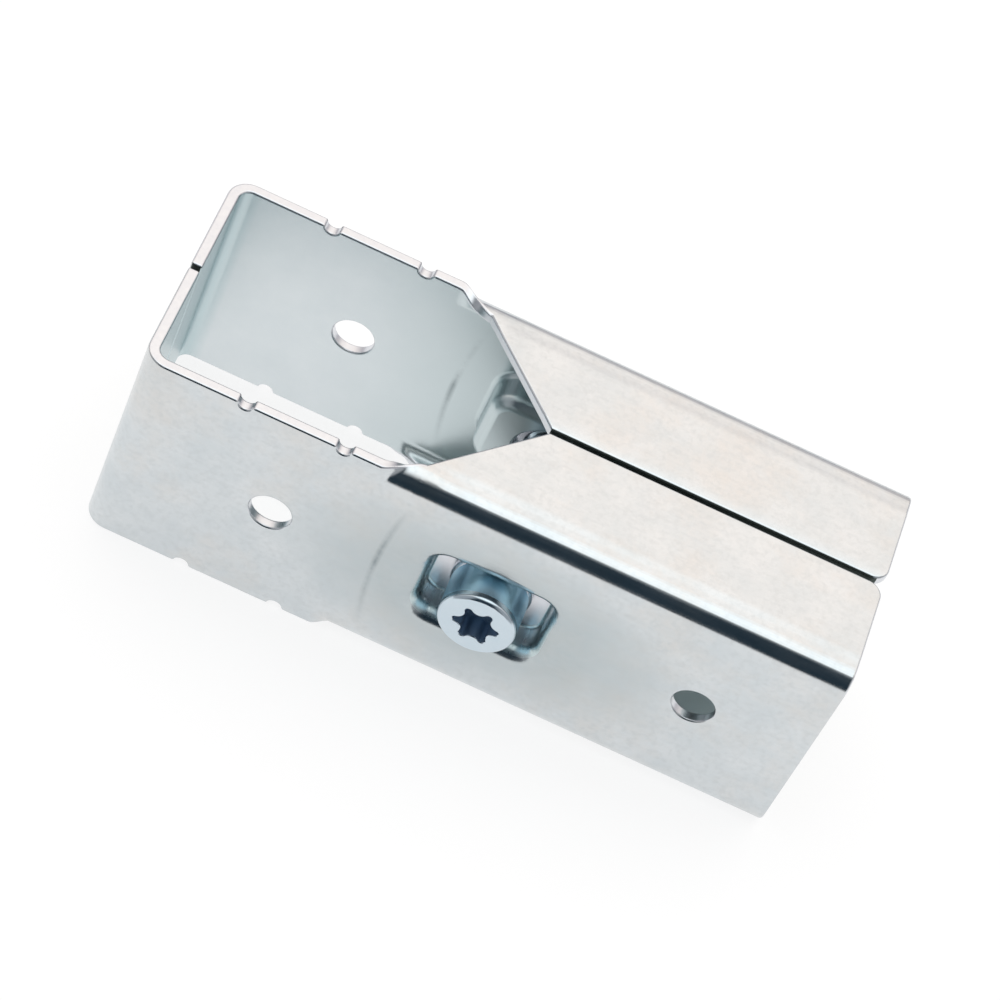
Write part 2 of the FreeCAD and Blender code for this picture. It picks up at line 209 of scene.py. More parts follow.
# Within a zone round the pocket the colour is drawn darker, towards #a6b2b5.
darker_zone_place = add_node(
    tree,
    "ShaderNodeMapping",
    Vector=place,
    Location=(-POCKET_X * per_metre(DARKER_ZONE_LENGTH), 0.0, 0.0),
    Scale=(per_metre(DARKER_ZONE_LENGTH), 0.0, per_metre(DARKER_ZONE_HEIGHT)),
)
around_pocket = add_node(
    tree, "ShaderNodeTexGradient", {"gradient_type": "SPHERICAL"}, Vector=darker_zone_place.outputs["Vector"]
)
darker_zone = add_node(tree, "ShaderNodeMapRange", Value=around_pocket.outputs["Fac"], From_Max=0.5, To_Max=0.55)
darker_round_pocket = add_node(
    tree,
    "ShaderNodeMix",
    {"data_type": "RGBA"},
    Factor=darker_zone.outputs["Result"],
    _6=warm.outputs[2],
    _7=colour("#a6b2b5"),
)
fine = add_node(tree, "ShaderNodeTexNoise", Vector=place, Scale=per_metre(0.7), Detail=3.0)
speckle = add_node(
    tree, "ShaderNodeMapRange", Value=fine.outputs["Fac"], From_Min=0.45, From_Max=0.7, To_Max=0.35
)
speckled = add_node(
    tree,
    "ShaderNodeMix",
    {"data_type": "RGBA"},
    Factor=speckle.outputs["Result"],
    _6=painted_crease_shade(tree, place, darker_round_pocket.outputs[2], stains.outputs["Fac"]),
    _7=colour("#c3c8ca"),
)
grain_place = add_node(tree, "ShaderNodeMapping", Vector=place, Scale=ALONG_THE_TUBE)
grain = add_node(
    tree, "ShaderNodeTexNoise", Vector=grain_place.outputs["Vector"], Scale=per_metre(0.5), Detail=4.0
)
gloss = add_node(
    tree,
    "ShaderNodeMapRange",
    Value=grain.outputs["Fac"],
    From_Min=0.3,
    From_Max=0.7,
    To_Min=0.16,
    To_Max=0.26,
)
wave = add_node(tree, "ShaderNodeBump", Strength=1.0, Distance=0.02 * MM, Height=clouds.outputs["Fac"])
brush = add_node(
    tree,
    "ShaderNodeBump",
    Strength=1.0,
    Distance=0.0015 * MM,
    Height=grain.outputs["Fac"],
    Normal=wave.outputs["Normal"],
)
plate(
    tree, Base_Color=speckled.outputs[2], Roughness=gloss.outputs["Result"], Normal=brush.outputs["Normal"]
)

# Zinc on a sheared edge is more matt than the sheet, and it is tinted paler: a painted highlight, so that
# the rims show as light lines.
# The tear of the cut is drawn 0.6 mm wide, coarser than the real one.
TEAR = 0.6
TEAR_DEPTH = 0.01 * MM
sheared_edge_highlit, tree, place = new_finish("zinc_on_sheared_edge_with_painted_highlight")
# Painted highlight: the edge's tint is paler than the sheet's.
tear, tint = clouded(tree, place, TEAR, 4.0, "#d6d9df", "#e6e8ea")
torn = add_node(tree, "ShaderNodeBump", Strength=1.0, Distance=TEAR_DEPTH, Height=tear)
plate(tree, Base_Color=tint, Roughness=0.32, Normal=torn.outputs["Normal"])

# Painted shade in the seam: the edges that face each other are tinted dark and dull, so that the seam shows
# as a dark line.  Its tear is as coarse as that of the other edges.
seam_edge_painted_shade, tree, place = new_finish("painted_shade_in_the_seam")
# Painted shade: the seam's edges are tinted dark.
tear, tint = clouded(tree, place, TEAR, 4.0, "#505855", "#656d6a")
torn = add_node(tree, "ShaderNodeBump", Strength=1.0, Distance=TEAR_DEPTH, Height=tear)
plate(tree, Base_Color=tint, Roughness=0.6, Normal=torn.outputs["Normal"])

# Dull zinc inside the fold is less polished than the outside, without sharp reflections.  Its even, pale
# blue-grey is painted light that brightens the shaded inside; it turns darker and greener in the end
# corners, which is painted shade, and towards the boss of the pocket.
CORNER_STARTS = -13.5 * MM
CORNER_ENDS = -15.5 * MM
BOSS_STARTS = 2.0 * MM
BOSS_ENDS = 20.0 * MM
zinc_inside_with_painted_light, tree, place = new_finish("dull_zinc_inside_the_fold_with_painted_light_and_shade")
# Painted light: the inside is tinted paler than the sheet outside.
clouds, tint = clouded(tree, place, 6, 5.0, "#d6dee1", "#e6ebed", break_up=0.6)
along = add_node(tree, "ShaderNodeSeparateXYZ", Vector=place).outputs["X"]
# Painted shade: darker and greener towards the end corners.
corner = add_node(
    tree,
    "ShaderNodeMapRange",
    Value=along,
    From_Min=CORNER_ENDS,
    From_Max=CORNER_STARTS,
    To_Min=1.0,
    To_Max=0.0,
)
corner_painted_shade = add_node(
    tree,
    "ShaderNodeMix",
    {"data_type": "RGBA"},
    Factor=corner.outputs["Result"],
    _6=tint,
    _7=colour("#c8d8db"),
)
boss = add_node(
    tree, "ShaderNodeMapRange", Value=along, From_Min=BOSS_STARTS, From_Max=BOSS_ENDS, To_Max=1.0
)
boss_tint = add_node(
    tree,
    "ShaderNodeMix",
    {"data_type": "RGBA"},
    Factor=boss.outputs["Result"],
    _6=corner_painted_shade.outputs[2],
    _7=colour("#cdd8da"),
)
wave = add_node(tree, "ShaderNodeBump", Strength=1.0, Distance=0.02 * MM, Height=clouds)
plate(
    tree,
    Base_Color=painted_crease_shade(tree, place, boss_tint.outputs[2], clouds),
    Roughness=0.31,
    Normal=wave.outputs["Normal"],
)

# Satin zinc on the drawn floor of the pocket, which the punch has flattened, is tinted near white: painted
# light that makes the recessed floor a pale, even patch.
pocket_floor_painted_light, tree, place = new_finish("satin_zinc_with_painted_light_on_drawn_floor")
# Painted light: the pocket floor is tinted near white.
clouds, tint = clouded(tree, place, 2, 4.0, "#ececf2", "#f8f7fa")
dimple = add_node(tree, "ShaderNodeBump", Strength=1.0, Distance=0.006 * MM, Height=clouds)
plate(tree, Base_Color=tint, Roughness=0.36, Normal=dimple.outputs["Normal"])

# Zinc on the flanks of the pocket is tinted darker and greener, painted shade in the recess, with streaks
# of gloss along the draw.
# The streaks are drawn 0.4 mm wide, coarser than the real ones.
ALONG_THE_DRAW = (1.0, 0.1, 1.0)
pocket_flank_painted_shade, tree, place = new_finish("zinc_with_painted_shade_on_drawn_flank")
# Painted shade: the flanks are tinted darker and greener.
clouds, tint = clouded(tree, place, 2, 4.0, "#c0d0d2", "#d2dedf")
drag_place = add_node(tree, "ShaderNodeMapping", Vector=place, Scale=ALONG_THE_DRAW)
drag = add_node(
    tree, "ShaderNodeTexNoise", Vector=drag_place.outputs["Vector"], Scale=per_metre(0.4), Detail=3.0
)
gloss = add_node(
    tree,
    "ShaderNodeMapRange",
    Value=drag.outputs["Fac"],
    From_Min=0.3,
    From_Max=0.7,
    To_Min=0.25,
    To_Max=0.35,
)
plate(tree, Base_Color=tint, Roughness=gloss.outputs["Result"])

shell_finishes = [zinc_sheet, sheared_edge_highlit, seam_edge_painted_shade, zinc_inside_with_painted_light, pocket_floor_painted_light, pocket_flank_painted_shade]
OUTSIDE, CUT_EDGE, SEAM_EDGE, INSIDE, POCKET_BED, POCKET_SIDE = range(len(shell_finishes))

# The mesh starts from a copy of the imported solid, whose creases and cut edges are then rounded.
MERGE_GAP = 0.002 * MM
FLAT_ANGLE = math.radians(0.5)
CUT_EDGE_ANGLE = math.radians(60)
CUT_EDGE_ROUND = 0.32 * MM
ROUND_STEPS = 3


def merged_copy(node_name):
    """A copy of a CAD node's mesh with its loose triangles welded."""
    shape = bmesh.new()
    shape.from_mesh(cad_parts[node_name].data)
    bmesh.ops.remove_doubles(shape, verts=shape.verts, dist=MERGE_GAP)
    return shape


def join_flats(shape):
    """Joins the triangles of each flat area, so that its outline can be rounded."""
    bmesh.ops.dissolve_limit(
        shape, angle_limit=FLAT_ANGLE, verts=shape.verts, edges=shape.edges, delimit={"MATERIAL"}
    )


def sharp_edges(shape, sharper_than):
    """Every edge whose faces meet at more than that angle."""
    return [edge for edge in shape.edges if edge.calc_face_angle(0) > sharper_than]


def round_edges(shape, edges, radius, segments):
    """Rounds the edges, so that they catch the light as worn and plated edges do."""
    bmesh.ops.bevel(
        shape,
        geom=edges,
        offset=radius,
        offset_type="OFFSET",
        affect="EDGES",
        segments=segments,
        profile=0.5,
        material=-1,
        clamp_overlap=False,
    )


# Each row rounds some creases of the pocket: the distances from the seam that they lie between, the radius
# and the steps.  First the foot of the boss inside the shell, then the boss's corner, then the floor's.
POCKET_ROUNDS = (
    (14.2 * MM, 15.1 * MM, 0.25 * MM, 4),
    (10.0 * MM, 11.45 * MM, 0.5 * MM, 4),
    (11.5 * MM, 12.1 * MM, 0.15 * MM, 3),
)
POCKET_REACH = 12.0 * MM
POCKET_HALF_HEIGHT = 9.5 * MM
POCKET_FLOOR = 12.0 * MM
POCKET_RIM = 15.9 * MM
SOFT_CREASE = math.radians(25)
HARD_CREASE = math.radians(65)


def pocket_edges(shape, nearest, furthest):
    """Creases of the pressed pocket whose depth from the seam lies between the two values."""
    edges = []
    for edge in shape.edges:
        middle = (edge.verts[0].co + edge.verts[1].co) / 2
        over_pocket = abs(middle.x - POCKET_X) < POCKET_REACH and abs(middle.z) < POCKET_HALF_HEIGHT
        crease = SOFT_CREASE < edge.calc_face_angle(0) < HARD_CREASE
        if over_pocket and crease and nearest < abs(middle.y) < furthest:
            edges.append(edge)
    return edges


# Where the window's rim leans over into the bend of the flange, it is made anew as a smooth grid.
BEND_INSIDE = 1.5 * MM
BEND_CENTRE = 13.5 * MM
LEAN_FOOT = 13.0 * MM
LEAN_CUT = 12.4 * MM
LEAN_START = 13.0933 * MM
LEAN_END = 18.0933 * MM
LEAN_TIP = 0.5 * MM
LEAN_TIP_SOFTER = 0.45
LEAN_STEPS = 18
SIDE_STEPS = 14
WELD_GAP = 0.03 * MM


def smooth_share(value):
    """Eases from 0 to 1, and stays there beyond."""
    share = min(max(value, 0), 1)
    return share * share * (3 - 2 * share)


def lean_section(bend):
    """Section of the rim as it leans over: from its outer foot over the cut edge to its inner foot.

    bend runs from 0, upright, to 1, folded flat; each point is (distance from the seam, height).  The rim
    keeps its height all the way, and only near the end does its tip grow past the bend.
    """
    angle = bend * math.pi / 2
    along = Vector((-math.sin(angle), math.cos(angle)))
    outward = Vector((math.cos(angle), math.sin(angle)))
    centre = Vector((BEND_CENTRE, BEND_CENTRE))
    foot = BEND_CENTRE - LEAN_FOOT
    level = (BEND_INSIDE + SHEET) * (1 - math.sin(angle)) / math.cos(angle)
    straight = level + LEAN_TIP * bend ** 4
    tip_round = CUT_EDGE_ROUND * (1 + LEAN_TIP_SOFTER * bend)

    def side(radius):
        points = []
        length = foot + radius * angle + straight - tip_round
        for step in range(SIDE_STEPS + 1):
            run = length * step / SIDE_STEPS - foot
            if run < 0:
                points.append(centre + Vector((radius, run)))
            elif run < radius * angle:
                turn = run / radius
                points.append(centre + Vector((math.cos(turn), math.sin(turn))) * radius)
            else:
                points.append(centre + outward * radius + along * (run - radius * angle))
        return points

    outer = side(BEND_INSIDE + SHEET)
    inner = side(BEND_INSIDE)
    rounds = [math.pi / 2 * step / ROUND_STEPS for step in range(1, ROUND_STEPS + 1)]
    over = [
        outer[-1] + outward * (math.cos(turn) - 1) * CUT_EDGE_ROUND + along * math.sin(turn) * tip_round
        for turn in rounds
    ]
    back = [
        inner[-1] - outward * (math.cos(turn) - 1) * CUT_EDGE_ROUND + along * math.sin(turn) * tip_round
        for turn in rounds
    ]
    return outer + over + back[::-1] + inner[::-1]


def add_lean(shape, seam_side, way):
    """Adds the part of a rim that leans over into the bend, as a smooth grid."""
    rows = []
    for step in range(-1, LEAN_STEPS + 1):
        share = max(step, 0) / LEAN_STEPS
        x = LEAN_CUT if step < 0 else LEAN_START + (LEAN_END - LEAN_START) * share
        section = lean_section(smooth_share(share))
        rows.append([shape.verts.new((x, y * seam_side, z * way)) for y, z in section])
    faces = []
    for row, following in zip(rows, rows[1:]):
        for place in range(len(row) - 1):
            face = shape.faces.new((row[place], following[place], following[place + 1], row[place + 1]))
            if place >= SIDE_STEPS:
                face.material_index = CUT_EDGE if place < len(row) - 1 - SIDE_STEPS else INSIDE
            faces.append(face)
    shape.normal_update()
    if faces[0].normal.y * seam_side < 0:
        bmesh.ops.reverse_faces(shape, faces=faces)


def weld_leans(shape):
    """Joins the leaning rims to the shell: each takes on the other's points along the cut, and they merge.

    No point moves further than the weld gap.
    """
    for vert in [vert for vert in shape.verts if vert.is_boundary]:
        for edge in [edge for edge in shape.edges if edge.is_boundary and vert not in edge.verts]:
            start, end = edge.verts
            nearest, share = intersect_point_line(vert.co, start.co, end.co)
            clear = min(share, 1 - share) * edge.calc_length()
            if clear > MERGE_GAP and (nearest - vert.co).length < WELD_GAP:
                bmesh.utils.edge_split(edge, start, share)[1].co = vert.co
    bmesh.ops.remove_doubles(shape, verts=[vert for vert in shape.verts if vert.is_boundary], dist=WELD_GAP)


# The press left two marks along each flange: a line pinched beside the bend, and a cut edge rolled over.
GROOVE_PLACE = 13.65 * MM
GROOVE_DEPTH = 0.146 * MM
GROOVE_TO_SEAM = 2.0 * MM
GROOVE_TO_WALL = 1.85 * MM
GROOVE_STEPS = 13
SEAM_REACH = 0.5 * MM
ROLL_REACH = 2.5 * MM
ROLL_DEPTH = 0.22 * MM
ROLL_STEPS = 6
PRESS_FADE = 4.0 * MM
FADE_STEPS = 4
FLANGE_HEIGHT = 12.6 * MM


def press_dip(from_seam, roll_depth):
    """How far a flange dips at that distance from the seam."""
    rolled = max(1 - from_seam / ROLL_REACH, 0) ** 2 * roll_depth
    off = from_seam - GROOVE_PLACE
    reach = GROOVE_TO_WALL if off > 0 else GROOVE_TO_SEAM
    return rolled + smooth_share(1 - abs(off) / reach) * GROOVE_DEPTH


def press_flanges(shape, seam_side):
    """Cuts the flanges into strips and sets the strips to the press marks."""
    start = LEAN_END - MERGE_GAP
    across = Vector((0, seam_side, 0))
    cuts = []
    for step in range(1, FADE_STEPS + 1):
        cuts.append((LEAN_END + PRESS_FADE * step / FADE_STEPS, Vector((1, 0, 0))))
    for step in range(1, ROLL_STEPS + 1):
        cuts.append((SEAM_REACH + (ROLL_REACH - SEAM_REACH) * step / ROLL_STEPS, across))
    span = GROOVE_TO_SEAM + GROOVE_TO_WALL
    for step in range(GROOVE_STEPS + 1):
        cuts.append((GROOVE_PLACE - GROOVE_TO_SEAM + span * step / GROOVE_STEPS, across))
    for distance, normal in cuts:
        faces = [face for face in shape.faces if min(vert.co.x for vert in face.verts) > start]
        edges = [edge for edge in shape.edges if min(vert.co.x for vert in edge.verts) > start]
        verts = [vert for vert in shape.verts if vert.co.x > start]
        bmesh.ops.bisect_plane(
            shape, geom=verts + edges + faces, plane_co=normal * distance, plane_no=normal, dist=MERGE_GAP
        )
    for vert in shape.verts:
        if vert.co.x > start and abs(vert.co.z) > FLANGE_HEIGHT:
            fade = smooth_share((vert.co.x - LEAN_END) / PRESS_FADE)
            roll_depth = ROLL_DEPTH if vert.co.z * seam_side > 0 else 0
            vert.co.z -= math.copysign(press_dip(abs(vert.co.y), roll_depth) * fade, vert.co.z)


# Faces that meet at less than this angle are shaded as one surface.
SMOOTH_ANGLE = math.radians(32)


def patch_areas(shape):
    """For each face, the area of the flat patch that it is a piece of."""
    areas = {}
    for seed in shape.faces:
        if seed in areas:
            continue
        patch = {seed}
        waiting = [seed]
        while waiting:
            for edge in waiting.pop().edges:
                if edge.calc_face_angle(1) < FLAT_ANGLE:
                    for face in edge.link_faces:
                        if face not in patch:
                            patch.add(face)
                            waiting.append(face)
        area = sum(face.calc_area() for face in patch)
        for face in patch:
            areas[face] = area
    return areas


def corner_normals(shape):
    """Normals for smooth shading, in which a wide flat patch outweighs the narrow faces that join it."""
    shape.normal_update()
    areas = patch_areas(shape)
    normals = []
    for face in shape.faces:
        for corner in face.loops:
            total = Vector((0, 0, 0))
            for other in corner.vert.link_faces:
                if face.normal.angle(other.normal, math.pi) < SMOOTH_ANGLE:
                    total += other.normal * (areas[other] / MM ** 2) ** 2
            normals.append(total.normalized() if total.length > 0 else face.normal.copy())
    return normals


def finish_piece(shape, name, materials, body, node_name):
    """Makes the bmesh a smooth-shaded object that stands for the node and rides on its body."""
    normals = corner_normals(shape)
    mesh = bpy.data.meshes.new(name)
    shape.to_mesh(mesh)
    shape.free()
    mesh.shade_smooth()
    mesh.normals_split_custom_set(normals)
    piece = bpy.data.objects.new(name, mesh)
    bpy.context.scene.collection.objects.link(piece)
    for material in materials:
        mesh.materials.append(material)
    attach(piece, body)
    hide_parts(node_name)


def whole(shape):
    """All of the bmesh, as the operators take it."""
    return shape.verts[:] + shape.edges[:] + shape.faces[:]


# Behind a cut edge the metal is deeper than the sheet is thick, and the pocket's floor faces straight out.
CUT_EDGE_DEPTH = 2.2 * SHEET
STRAIGHT_OUT = 0.9
for node_name, body, seam_side in (("front_shell", "front", -1), ("rear_shell", "rear", 1)):
    shape = merged_copy(node_name)
    solid = BVHTree.FromBMesh(shape)
    for face in shape.faces:
        inward = -face.normal
        middle = face.calc_center_median()
        depth = solid.ray_cast(middle + inward * MERGE_GAP, inward)[3]
        if depth is None or depth > CUT_EDGE_DEPTH:
            face.material_index = SEAM_EDGE if abs(middle.y) < SEAM_REACH else CUT_EDGE
        elif solid.ray_cast(middle - inward * MERGE_GAP, Vector((0, seam_side, 0)))[3] is not None:
            face.material_index = INSIDE
        elif abs(middle.y) < POCKET_RIM and abs(middle.z) < POCKET_HALF_HEIGHT and middle.x > LEAN_END:
            flat = abs(middle.y) < POCKET_FLOOR and abs(face.normal.y) > STRAIGHT_OUT
            face.material_index = POCKET_BED if flat else POCKET_SIDE
        else:
            face.material_index = OUTSIDE
    for limit, normal in (
        (Vector((LEAN_CUT, 0, 0)), Vector((1, 0, 0))),
        (Vector((LEAN_END, 0, 0)), Vector((1, 0, 0))),
        (Vector((0, 0, LEAN_FOOT)), Vector((0, 0, 1))),
        (Vector((0, 0, -LEAN_FOOT)), Vector((0, 0, 1))),
    ):
        bmesh.ops.bisect_plane(shape, geom=whole(shape), plane_co=limit, plane_no=normal, dist=MERGE_GAP)
    leaning = []
    for face in shape.faces:
        middle = face.calc_center_median()
        if LEAN_CUT < middle.x < LEAN_END and abs(middle.z) > LEAN_FOOT:
            leaning.append(face)
    bmesh.ops.delete(shape, geom=leaning, context="FACES")
    join_flats(shape)
    for nearest, furthest, radius, steps in POCKET_ROUNDS:
        round_edges(shape, pocket_edges(shape, nearest, furthest), radius, steps)
    round_edges(shape, sharp_edges(shape, CUT_EDGE_ANGLE), CUT_EDGE_ROUND, ROUND_STEPS)
    press_flanges(shape, seam_side)
    for way in (-1, 1):
        add_lean(shape, seam_side, way)
    weld_leans(shape)
    finish_piece(shape, node_name + "_look", shell_finishes, body, node_name)

# Washer: stamped from steel strip and tumbled, which softens its edges, then bright zinc plated.
# It lies loose on the floor of the front pocket, under the screw head.
# Bright zinc on stamped steel gives the eye a cool, uneven mirror, a little duller than the sheet.
WASHER_ROUND = 0.12 * MM
WASHER_EDGE_ANGLE = math.radians(30)
zinc_small, tree, place = new_finish("bright_zinc_on_stamped_steel")
clouds, tint = clouded(tree, place, 1.2, 4.0, "#d6d9e2", "#e4e4ea")
gloss = add_node(
    tree, "ShaderNodeMapRange", Value=clouds, From_Min=0.3, From_Max=0.7, To_Min=0.2, To_Max=0.32
)
dimple = add_node(tree, "ShaderNodeBump", Strength=1.0, Distance=0.004 * MM, Height=clouds)
plate(tree, Base_Color=tint, Roughness=gloss.outputs["Result"], Normal=dimple.outputs["Normal"])

shape = merged_copy("clamp_washer")
join_flats(shape)
round_edges(shape, sharp_edges(shape, WASHER_EDGE_ANGLE), WASHER_ROUND, 2)
finish_piece(shape, "clamp_washer_look", [zinc_small], "front", "clamp_washer")

# Square nut: stamped steel with a turned bevel on its outer face and a tapped bore, bright zinc plated as
# the washer is.  It bears on the floor of the rear pocket, whose sides keep it from turning.
NUT_STEPS = 96
NUT_FACE = 4.75 * MM
NUT_BEVEL = math.tan(math.radians(30))
NUT_CORNER = 1.37
NUT_BORE = 3.03 * MM
NUT_SINK = 3.35 * MM
NUT_SOFT = 0.12 * MM
nut_low, nut_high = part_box("clamp_nut")
nut_seat = nut_low[1]
nut_top = nut_high[1]
nut_half = (nut_high[0] - nut_low[0]) / 2


def polar(angle, radius):
    """A point at that angle and distance from the screw's axis."""
    return Vector((math.cos(angle), math.sin(angle))) * radius


def ring(shape, points):
    """Vertices round the screw's axis; each point is (across, up, along the screw)."""
    return [shape.verts.new((POCKET_X + across, along, up)) for across, up, along in points]


def skin(shape, rings):
    """Faces from each ring to the next, point by point, one list for each pair of rings."""
    bands = []
    for near, far in zip(rings, rings[1:]):
        corners = [(near[place - 1], near[place], far[place], far[place - 1]) for place in range(len(near))]
        bands.append([shape.faces.new(corner) for corner in corners])
    return bands


nut_angles = [math.tau * step / NUT_STEPS for step in range(NUT_STEPS)]
sides = []
for angle in nut_angles:
    reach = nut_half / max(abs(math.cos(angle)), abs(math.sin(angle)))
    sides.append(min(reach, nut_half * NUT_CORNER))
bevels = [nut_top - (side - NUT_FACE) * NUT_BEVEL for side in sides]
sections = [
    [(NUT_SINK, nut_seat)] * NUT_STEPS,
    [(side - NUT_SOFT, nut_seat) for side in sides],
    [(side, nut_seat + NUT_SOFT) for side in sides],
    [(side, bevel - NUT_SOFT) for side, bevel in zip(sides, bevels)],
    [(side - NUT_SOFT, bevel + NUT_SOFT * NUT_BEVEL) for side, bevel in zip(sides, bevels)],
    [(NUT_FACE + NUT_SOFT, nut_top - NUT_SOFT * NUT_BEVEL)] * NUT_STEPS,
    [(NUT_FACE, nut_top)] * NUT_STEPS,
    [(NUT_SINK, nut_top)] * NUT_STEPS,
    [(NUT_BORE, nut_top - 2 * NUT_SOFT)] * NUT_STEPS,
    [(NUT_BORE, nut_seat + 2 * NUT_SOFT)] * NUT_STEPS,
]
shape = bmesh.new()
rings = []
for section in sections:
    points = []
    for angle, (radius, along) in zip(nut_angles, section):
        points.append((*polar(angle, radius), along))
    rings.append(ring(shape, points))
skin(shape, rings + rings[:1])
bmesh.ops.recalc_face_normals(shape, faces=shape.faces)
finish_piece(shape, "clamp_nut_look", [zinc_small], "rear", "clamp_nut")

# Cap screw: cold-headed steel with a rolled metric thread and a punched six-lobe socket, bright zinc plated
# with a bluish passivation.  Its head bears on the washer, and its thread runs through the nut.
# Blue zinc on headed steel gives the eye a cool, bluish mirror on the head's face and on the thread.
zinc_screw, tree, place = new_finish("blue_zinc_on_headed_steel")
clouds, tint = clouded(tree, place, 1.5, 4.0, "#c4d3dc", "#d3dee6")
gloss = add_node(
    tree, "ShaderNodeMapRange", Value=clouds, From_Min=0.3, From_Max=0.7, To_Min=0.16, To_Max=0.26
)
dimple = add_node(tree, "ShaderNodeBump", Strength=1.0, Distance=0.004 * MM, Height=clouds)
plate(tree, Base_Color=tint, Roughness=gloss.outputs["Result"], Normal=dimple.outputs["Normal"])

# Dull zinc in the socket: little plating reaches it, and it shows as a dark blue star.
zinc_socket, tree, place = new_finish("dull_zinc_in_the_socket")
clouds, tint = clouded(tree, place, 0.8, 3.0, "#9cb0c6", "#b4c8d8")
plate(tree, Base_Color=tint, Roughness=0.5)

# Satin zinc on the head's rolled side is tinted bluer and paler than the face, a painted reflection, and
# its reflections are softer.
head_side_painted_light, tree, place = new_finish("satin_zinc_with_painted_light_on_rolled_side")
# Painted reflection: the side is tinted bluer and paler than the face.
clouds, tint = clouded(tree, place, 1.5, 4.0, "#c0e6fb", "#d2f0ff")
plate(tree, Base_Color=tint, Roughness=0.34)

screw_finishes = [zinc_screw, zinc_socket, head_side_painted_light]
FACE, SOCKET, SIDE = range(len(screw_finishes))

SEAT = -13.2 * MM
HEAD_TOP = -19.2 * MM
HEAD_RADIUS = 5.0 * MM
HEAD_ROUND = 0.65 * MM
HEAD_STEPS = 8
FACE_EDGE = HEAD_RADIUS - 1.3 * HEAD_ROUND
SIDE_STARTS = HEAD_TOP + 1.2 * MM
SIDE_ENDS = SEAT - 0.5 * MM
HEAD_FOOT = 0.15 * MM
CREST_RADIUS = 3.0 * MM
SOCKET_FLOOR = -16.0 * MM
SOCKET_POINT = 0.5 * MM
SOCKET_TURN = math.radians(6)
# The socket's lip is rolled: each step gives how far it opens and how far it lies below the face.
SOCKET_LIP = ((0.0, 0.12 * MM), (0.08 * MM, 0.03 * MM), (0.16 * MM, 0.0))
LOBE = 0.5 * MM
LOBE_PLACE = 2.475 * MM
WAIST = 2.05 * MM
ARC_STEPS = 10


def star():
    """Outline of the six-lobe socket: round lobes, and valleys that run smoothly into them."""
    half_pitch = math.pi / 6
    reach = LOBE_PLACE * math.cos(half_pitch)
    valley = (2 * WAIST * reach + LOBE ** 2 - WAIST ** 2 - LOBE_PLACE ** 2) / (2 * (WAIST - reach - LOBE))
    valley_place = WAIST + valley
    sideways = valley_place * math.sin(half_pitch)
    swing = math.atan2(sideways, valley_place * math.cos(half_pitch) - LOBE_PLACE)
    dip = math.pi - swing + half_pitch
    points = []
    for lobe in range(6):
        middle = SOCKET_TURN + 2 * half_pitch * lobe
        for step in range(ARC_STEPS):
            turn = middle + swing * (2 * step / ARC_STEPS - 1)
            points.append(polar(middle, LOBE_PLACE) + polar(turn, LOBE))
        for step in range(ARC_STEPS):
            turn = middle + half_pitch + math.pi + (math.pi - dip) * (1 - 2 * step / ARC_STEPS)
            points.append(polar(middle + half_pitch, valley_place) + polar(turn, valley))
    return points


head = bmesh.new()
outline = star()
rings = [(outline, SOCKET_FLOOR)]
for opens, below in SOCKET_LIP:
    rings.append(([point * (1 + opens / point.length) for point in outline], HEAD_TOP + below))
turned = [(FACE_EDGE, HEAD_TOP)]
for step in range(HEAD_STEPS + 1):
    turn = math.pi / 2 * step / HEAD_STEPS
    turned.append((
        HEAD_RADIUS - HEAD_ROUND * (1 - math.sin(turn)), HEAD_TOP + HEAD_ROUND * (1 - math.cos(turn))
    ))
turned += [
    (HEAD_RADIUS, SIDE_STARTS),
    (HEAD_RADIUS, SIDE_ENDS),
    (HEAD_RADIUS, SEAT - HEAD_FOOT),
    (HEAD_RADIUS - HEAD_FOOT, SEAT),
    (CREST_RADIUS, SEAT),
]
for radius, y in turned:
    rings.append(([point.normalized() * radius for point in outline], y))
loops = [ring(head, [(point.x, point.y, y) for point in points]) for points, y in rings]
walls = skin(head, loops)
head.faces.new(loops[-1])
pointed = bmesh.ops.poke(head, faces=[head.faces.new(loops[0])])
pointed["verts"][0].co.y = SOCKET_FLOOR + SOCKET_POINT
for face in pointed["faces"] + walls[0]:
    face.material_index = SOCKET
for faces, (points, y) in zip(walls[1:], rings[1:]):
    for face in faces:
        face.material_index = SIDE if y > HEAD_TOP + HEAD_ROUND else FACE
bmesh.ops.recalc_face_normals(head, faces=head.faces)

# The thread is wound from one profile, given as shares of the pitch and radii, and cut off at both ends.
SHANK_END = 16.8 * MM
POINT_LENGTH = 0.8 * MM
THREAD_PITCH = 1.0 * MM
ROOT_RADIUS = 2.42 * MM
THREAD_STEPS = 40
THREAD_PROFILE = ((0.0, ROOT_RADIUS), (0.2, ROOT_RADIUS), (0.53, CREST_RADIUS), (0.67, CREST_RADIUS))
shank = bmesh.new()
turns = math.ceil((SHANK_END - SEAT) / THREAD_PITCH) + 2
chain = []
for turn in range(turns):
    for along, radius in THREAD_PROFILE:
        y = SEAT + (turn - 1 + along) * THREAD_PITCH
        chain.append(shank.verts.new((POCKET_X + radius, y, 0)))
for first, second in zip(chain, chain[1:]):
    shank.edges.new((first, second))
bmesh.ops.spin(
    shank,
    geom=shank.verts[:] + shank.edges[:],
    cent=(POCKET_X, 0, 0),
    axis=(0, 1, 0),
    dvec=(0, THREAD_PITCH / THREAD_STEPS, 0),
    angle=math.tau,
    steps=THREAD_STEPS,
)
bmesh.ops.remove_doubles(shank, verts=shank.verts, dist=MERGE_GAP)
